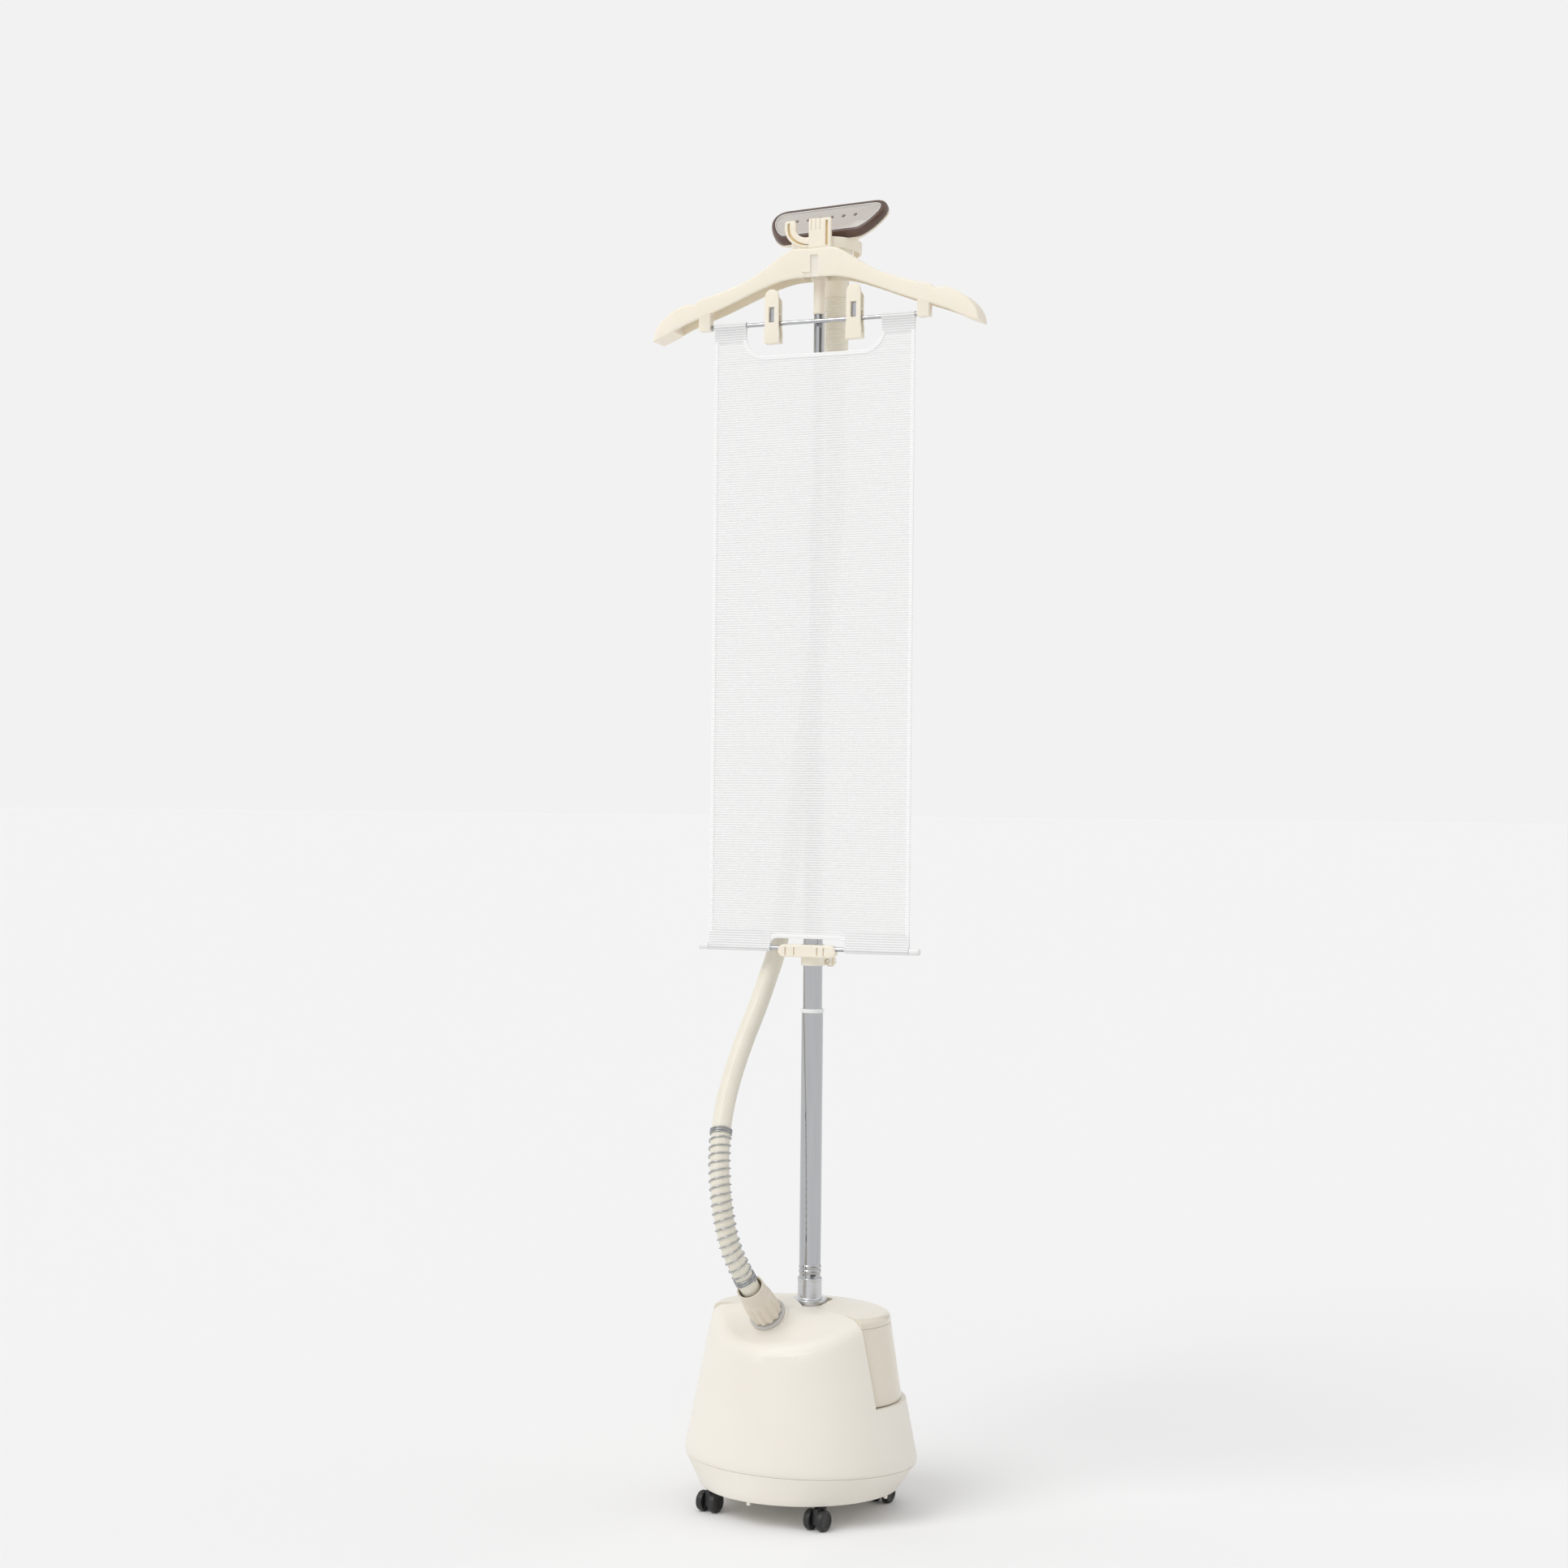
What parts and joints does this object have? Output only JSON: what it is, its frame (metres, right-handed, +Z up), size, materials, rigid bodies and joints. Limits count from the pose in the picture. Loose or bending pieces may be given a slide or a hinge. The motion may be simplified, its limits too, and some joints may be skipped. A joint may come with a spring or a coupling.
{
  "type": "garment steamer",
  "caption": "Floor-standing garment steamer on casters with a lift-out water tank, telescopic pole, shoulder hanger with clips, stretched pressing cloth and a corded steam head",
  "frame": {"origin": "on the floor under the middle of the base", "axes": "+Z up along the pole, -Y towards the front of the base where the hose nozzle is, +X to the right of someone who faces its front"},
  "size_m": [0.4543, 0.264, 1.6916],
  "materials": {
    "ivory": "satin ivory moulding",
    "cream": "satin warm cream moulding",
    "frosted": "frosted translucent tank plastic",
    "chrome": "polished chrome",
    "aluminium": "satin aluminium",
    "steel": "spring and wire steel",
    "brown": "satin dark brown",
    "black": "black moulding",
    "grey": "light grey moulding",
    "cloth": "white woven polyester",
    "hose": "cream sleeved hose",
    "copper": "copper pipe",
    "rubber": "grey rubber"
  },
  "bodies": {
    "base": {"base_tray": "ivory", "body_shell": "ivory", "pole_socket": "aluminium", "pole_tube_1": "chrome", "tube_collar_1": "cream", "tank_seat": "rubber", "boiler_body": "aluminium", "boiler_lid": "aluminium", "heater_coil": "steel", "steam_riser": "copper", "feed_pipe": "rubber", "thermostat": "black", "switch_module": "black", "cord_inlet": "black", "steam_outlet": "grey", "steam_hose": "hose", "hose_spring_guard": "chrome"},
    "mast_lower": {"pole_tube_2": "chrome", "tube_collar_2": "cream", "board_clamp": "cream", "bottom_bar": "chrome", "bottom_bar_cap_left": "grey", "bottom_bar_cap_right": "grey", "pressing_cloth": "cloth"},
    "mast_middle": {"pole_tube_3": "chrome", "tube_collar_3": "cream", "glide_bush_3": "rubber"},
    "mast_upper": {"pole_tube_4": "chrome", "glide_bush_4": "rubber", "hanger_stem": "cream", "hanger": "cream", "handset_cradle": "cream", "top_bar": "chrome"},
    "handset": {"steam_plate": "aluminium", "head_rim": "brown", "head_shell": "cream", "handle": "cream", "handle_boot": "cream"},
    "tank": {"water_tank": "frosted", "tank_cover": "frosted", "tank_valve_cap": "cream"},
    "tank_valve": {"valve_plunger": "cream"},
    "switch_cap": {"power_button": "grey"},
    "nozzle_nut": {"hose_nut": "ivory"},
    "clamp_screw": {"clamp_knob": "cream"},
    "clip_left": {"clip_front_left": "cream", "clip_spring_left": "steel"},
    "clip_lever_left": {"clip_back_left": "cream"},
    "clip_right": {"clip_front_right": "cream", "clip_spring_right": "steel"},
    "clip_lever_right": {"clip_back_right": "cream"},
    "caster_front_left": {"caster_hood_front_left": "black"},
    "wheels_front_left": {"caster_wheels_front_left": "black"},
    "caster_front_right": {"caster_hood_front_right": "black"},
    "wheels_front_right": {"caster_wheels_front_right": "black"},
    "caster_rear_left": {"caster_hood_rear_left": "black"},
    "wheels_rear_left": {"caster_wheels_rear_left": "black"},
    "caster_rear_right": {"caster_hood_rear_right": "black"},
    "wheels_rear_right": {"caster_wheels_rear_right": "black"}
  },
  "joints": [
    {"name": "tube_2_slide", "type": "slide", "parent": "base", "child": "mast_lower", "axis": [0, 0, 1], "range_m": [-0.05, 0]},
    {"name": "tube_3_slide", "type": "slide", "parent": "mast_lower", "child": "mast_middle", "axis": [0, 0, 1], "range_m": [-0.3, 0], "deforming": ["pressing_cloth", "steam_hose", "hose_spring_guard"]},
    {"name": "tube_4_slide", "type": "slide", "parent": "mast_middle", "child": "mast_upper", "axis": [0, 0, 1], "range_m": [-0.24, 0]},
    {"name": "handset_lift", "type": "slide", "parent": "mast_upper", "child": "handset", "axis": [0, 0, 1], "range_m": [0, 0.1]},
    {"name": "tank_lift", "type": "slide", "parent": "base", "child": "tank", "axis": [0, 0, 1], "range_m": [0, 0.2]},
    {"name": "valve_press", "type": "slide", "parent": "tank", "child": "tank_valve", "axis": [0, 0, 1], "range_m": [0, 0.004], "stiffness_N_per_m": 200, "springref_m": -0.002},
    {"name": "power_press", "type": "slide", "parent": "base", "child": "switch_cap", "axis": [0, -1, 0], "range_m": [0, 0.003], "stiffness_N_per_m": 400, "springref_m": -0.001},
    {"name": "nut_turn", "type": "hinge", "parent": "base", "child": "nozzle_nut", "pos_m": [-0.022, -0.05, 0.2535], "axis": [0, -0.7254, 0.6884], "range_deg": [0, 300]},
    {"name": "clamp_screw_turn", "type": "hinge", "parent": "mast_lower", "child": "clamp_screw", "pos_m": [0.01968, 0.01283, 0.7011], "axis": [-0.1478, 0.989, 0], "range_deg": [0, 300]},
    {"name": "clip_slide_left", "type": "slide", "parent": "mast_upper", "child": "clip_left", "axis": [0.989, 0.1478, 0], "range_m": [-0.004, 0.03]},
    {"name": "clip_open_left", "type": "hinge", "parent": "clip_left", "child": "clip_lever_left", "pos_m": [-0.05371, -0.00623, 1.54], "axis": [0.989, 0.1478, 0], "range_deg": [0, 12], "stiffness_Nm_per_rad": 0.2, "springref_deg": -11.46},
    {"name": "clip_slide_right", "type": "slide", "parent": "mast_upper", "child": "clip_right", "axis": [0.989, 0.1478, 0], "range_m": [-0.03, 0.004]},
    {"name": "clip_open_right", "type": "hinge", "parent": "clip_right", "child": "clip_lever_right", "pos_m": [0.05903, 0.01062, 1.54], "axis": [0.989, 0.1478, 0], "range_deg": [0, 12], "stiffness_Nm_per_rad": 0.2, "springref_deg": -11.46},
    {"name": "caster_swivel_front_left", "type": "hinge", "parent": "base", "child": "caster_front_left", "pos_m": [-0.08, -0.082, 0.02], "axis": [0, 0, 1], "continuous": true},
    {"name": "wheel_spin_front_left", "type": "hinge", "parent": "caster_front_left", "child": "wheels_front_left", "pos_m": [-0.08, -0.09, 0.013], "axis": [1, 0, 0], "continuous": true},
    {"name": "caster_swivel_front_right", "type": "hinge", "parent": "base", "child": "caster_front_right", "pos_m": [0.08, -0.082, 0.02], "axis": [0, 0, 1], "continuous": true},
    {"name": "wheel_spin_front_right", "type": "hinge", "parent": "caster_front_right", "child": "wheels_front_right", "pos_m": [0.08, -0.09, 0.013], "axis": [1, 0, 0], "continuous": true},
    {"name": "caster_swivel_rear_left", "type": "hinge", "parent": "base", "child": "caster_rear_left", "pos_m": [-0.08, 0.082, 0.02], "axis": [0, 0, 1], "continuous": true},
    {"name": "wheel_spin_rear_left", "type": "hinge", "parent": "caster_rear_left", "child": "wheels_rear_left", "pos_m": [-0.08, 0.074, 0.013], "axis": [1, 0, 0], "continuous": true},
    {"name": "caster_swivel_rear_right", "type": "hinge", "parent": "base", "child": "caster_rear_right", "pos_m": [0.08, 0.082, 0.02], "axis": [0, 0, 1], "continuous": true},
    {"name": "wheel_spin_rear_right", "type": "hinge", "parent": "caster_rear_right", "child": "wheels_rear_right", "pos_m": [0.08, 0.074, 0.013], "axis": [1, 0, 0], "continuous": true}
  ],
  "couplings": [
    {"joint": "tube_4_slide", "follows": "tube_3_slide", "ratio": 0.8}
  ]
}
